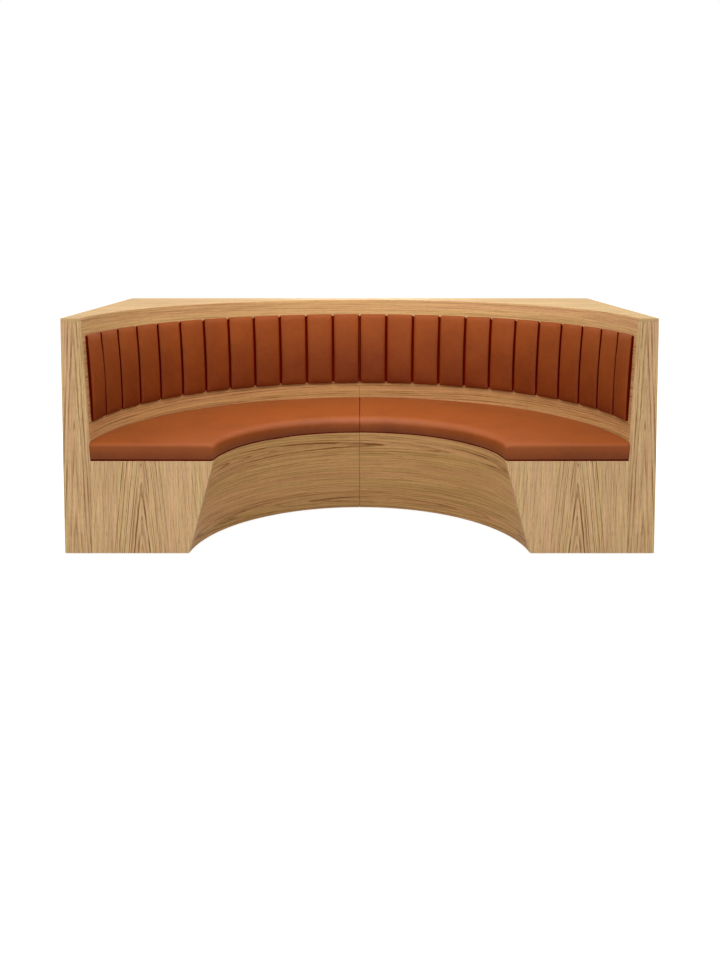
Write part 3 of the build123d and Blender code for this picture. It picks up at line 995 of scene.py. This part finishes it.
def wrapped_channel(shape, number):
    """Stand a channel against the raked wall, at its angle round the arc."""
    centre = (number - (len(channel_nodes) - 1) / 2) * channel_pitch
    seed = number * seed_step
    for vert in shape.verts:
        x, y, z = vert.co
        spot = Vector((x * uneven_across + seed, z * uneven_up, seed))
        unevenness = noise.noise(spot) * uneven_depth
        depth = y * crowned(x, z) + unevenness * min(1.0, y / channel_thickness)
        past_ends = z < wrap_margin or z > channel_height - wrap_margin
        past_first = number == 0 and x > channel_width - wrap_margin
        past_last = number == len(channel_nodes) - 1 and x < wrap_margin
        if y < rear_skin and (past_ends or past_first or past_last):
            depth -= wrap_depth
        height = pad_low + z
        radius = back_radius(height) - channel_rear_gap - depth
        turn = centre - (x - channel_width / 2) / pad_mid_radius
        vert.co = (radius * sin(turn), axis_y + radius * cos(turn), height)


print("channel helpers ready")

# %% Make the channels
channel = channel_block()
bmesh.ops.recalc_face_normals(channel, faces=channel.faces)
overfilled(channel, lambda place: place.y < rear_skin, channel_swell)
kept_between(channel, 0, 0.0, channel_width)
kept_between(channel, 1, 0.0, no_limit)
kept_between(channel, 2, 0.0, channel_height)
# Painted shade: the folds' sides and each pad's foot get the dark leather.
for face in channel.faces:
    middle = face.calc_center_median()
    at_side = min(middle.x, channel_width - middle.x) < fold_side
    if middle.y < fold_depth and (at_side or middle.z < fold_base):
        face.material_index = 1
for number, node in enumerate(channel_nodes):
    pad = channel.copy()
    wrapped_channel(pad, number)
    piece = finished(node.replace("back_", ""), pad, back_leather, [node])
    piece.data.materials.append(gap_leather)
    smoothed(piece)
print(len(channel_nodes), "channels of", len(channel.faces), "faces each")
channel.free()

# %% [markdown]
# The leather of the back is sewn down to its board between the channels, so a gap shows leather
# and never bare wood. Strips in the gaps could show that, but it is simpler to give the bent
# boards behind the channels the dark leather of painted shade, as the gaps lie in shade.

# %% Leather on the pad boards
# Painted shade: the boards seen in the gaps get the dark leather.
for side in ("left", "right"):
    pad_board = nodes[f"pad_board_{side}"]
    pad_board.data.materials.clear()
    pad_board.data.materials.append(gap_leather)
print("pad boards covered")

# %% [markdown]
# The bench stands on a white studio floor. Rays from the camera, and those that gloss or glass
# sends on, see a glow of its own on the floor, so that it reads as plain white. What lights the
# bench from below is only the grey paint under the lamps and the sky, and that paint also
# keeps the bench's soft shadow.

# %% Floor
floor_reach = 30.0
floor_glow = 0.82
floor_grey = (0.28, 0.28, 0.275, 1.0)
white = (1.0, 1.0, 1.0, 1.0)
floor_shape = bmesh.new()
bmesh.ops.create_grid(floor_shape, x_segments=1, y_segments=1, size=floor_reach)
floor_mesh = bpy.data.meshes.new("floor")
floor_shape.to_mesh(floor_mesh)
floor_shape.free()
floor = bpy.data.objects.new("floor", floor_mesh)
bpy.context.scene.collection.objects.link(floor)
paint = Finish("studio_floor")
rays = paint.add("LightPath").node.outputs
seen = paint.sum(rays["Is Camera Ray"], rays["Is Glossy Ray"], rays["Is Transmission Ray"])
seen = paint.range(seen, 0.0, 1.0)
glow = paint.add("Emission", white, paint.product(seen, floor_glow))
diffuse = paint.add("BsdfDiffuse", floor_grey)
both = paint.add("AddShader", glow, diffuse)
paint.tree.links.new(both, paint.tree.nodes["Material Output"].inputs["Surface"])
floor_mesh.materials.append(paint.material)
print("floor reaches", floor_reach, "m each way")

# %% [markdown]
# The light is that of a product photograph: a sky that is bright overhead and dark at the
# horizon, a large soft box above, a small one low over the table's place, which lights the top
# of the padded back more than its foot, a broad one straight in front, and one from the front
# left. Low lamps behind and beside the bench light its other sides. The world shows plain white
# to the camera and in reflections. A picture of a studio could light the bench as well, but
# lamps and a sky made of nodes need no file, and each can be changed by itself.

# %% Sky
world = bpy.data.worlds.new("studio")
bpy.context.scene.world = world
world.use_nodes = True
sky = world.node_tree


def sky_node(kind, *sockets, **options):
    """Add a node to the sky and fill its sockets in their order."""
    node = sky.nodes.new("ShaderNode" + kind)
    for option, value in options.items():
        setattr(node, option, value)
    for place, value in enumerate(sockets):
        if isinstance(value, bpy.types.NodeSocket):
            sky.links.new(value, node.inputs[place])
        else:
            node.inputs[place].default_value = value
    return node


sky_strength = 1.75
sky_rays = sky_node("LightPath").outputs
direction = sky_node("TexCoord").outputs["Generated"]
upward = sky_node("SeparateXYZ", direction).outputs["Z"]
level = sky_node("MapRange", upward, 0.0, 1.0, 0.0, sky_strength).outputs[0]
in_view = sky_node("Math", sky_rays["Is Camera Ray"], sky_rays["Is Glossy Ray"]).outputs[0]
in_view = sky_node("Math", in_view, sky_rays["Is Transmission Ray"], use_clamp=True).outputs[0]
mixed = sky_node("MixRGB", in_view, level, white).outputs[0]
background = sky.nodes["Background"]
sky.links.new(mixed, background.inputs["Color"])
background.inputs["Strength"].default_value = 1.0
print("sky strength overhead:", sky_strength)


# %% Lamps
def soft_box(name, place, aim, size, power):
    """A square area light that looks at a point."""
    lamp = bpy.data.lights.new(name, "AREA")
    lamp.size = size
    lamp.energy = power
    holder = bpy.data.objects.new(name, lamp)
    holder.location = place
    holder.rotation_euler = (Vector(aim) - Vector(place)).to_track_quat("-Z", "Y").to_euler()
    holder.visible_camera = False
    bpy.context.scene.collection.objects.link(holder)


soft_box("overhead", (0.0, -1.2, 4.2), (0.0, 0.1, 0.5), 3.6, 25.0)
soft_box("over_table", (0.0, -0.25, 1.6), (0.0, 0.2, 0.5), 0.8, 6.5)
soft_box("front", (0.0, -5.0, 1.4), (0.0, 0.0, 0.5), 3.0, 50.0)
soft_box("front_left", (-4.5, -3.6, 2.2), (0.0, 0.0, 0.5), 2.4, 32.0)
soft_box("behind", (0.0, 5.0, 0.7), (0.0, 0.6, 0.5), 1.4, 95.0)
soft_box("beside_left", (-5.0, 0.4, 0.7), (-1.2, 0.0, 0.5), 1.4, 40.0)
soft_box("beside_right", (5.0, 0.4, 0.7), (1.2, 0.0, 0.5), 1.4, 60.0)

# %% [markdown]
# The camera stands straight in front, a little above the bench, and looks slightly down. The
# photograph's frame is taller than it needs to be, with the bench above its middle, which a
# vertical shift of the lens gives without tilting the camera any further.

# %% Camera
look_down = 0.068
camera_data = bpy.data.cameras.new("camera")
camera_data.lens = 35.39
camera_data.shift_x = 0.0004
camera_data.shift_y = -0.189
camera = bpy.data.objects.new("camera", camera_data)
camera.location = (0.0, -4.367, 1.300)
camera.rotation_euler = (pi / 2 - look_down, 0.0, 0.0)
bpy.context.scene.collection.objects.link(camera)
bpy.context.scene.camera = camera
bpy.context.scene.view_settings.view_transform = "Standard"
print("camera at", [round(place, 3) for place in camera.location])
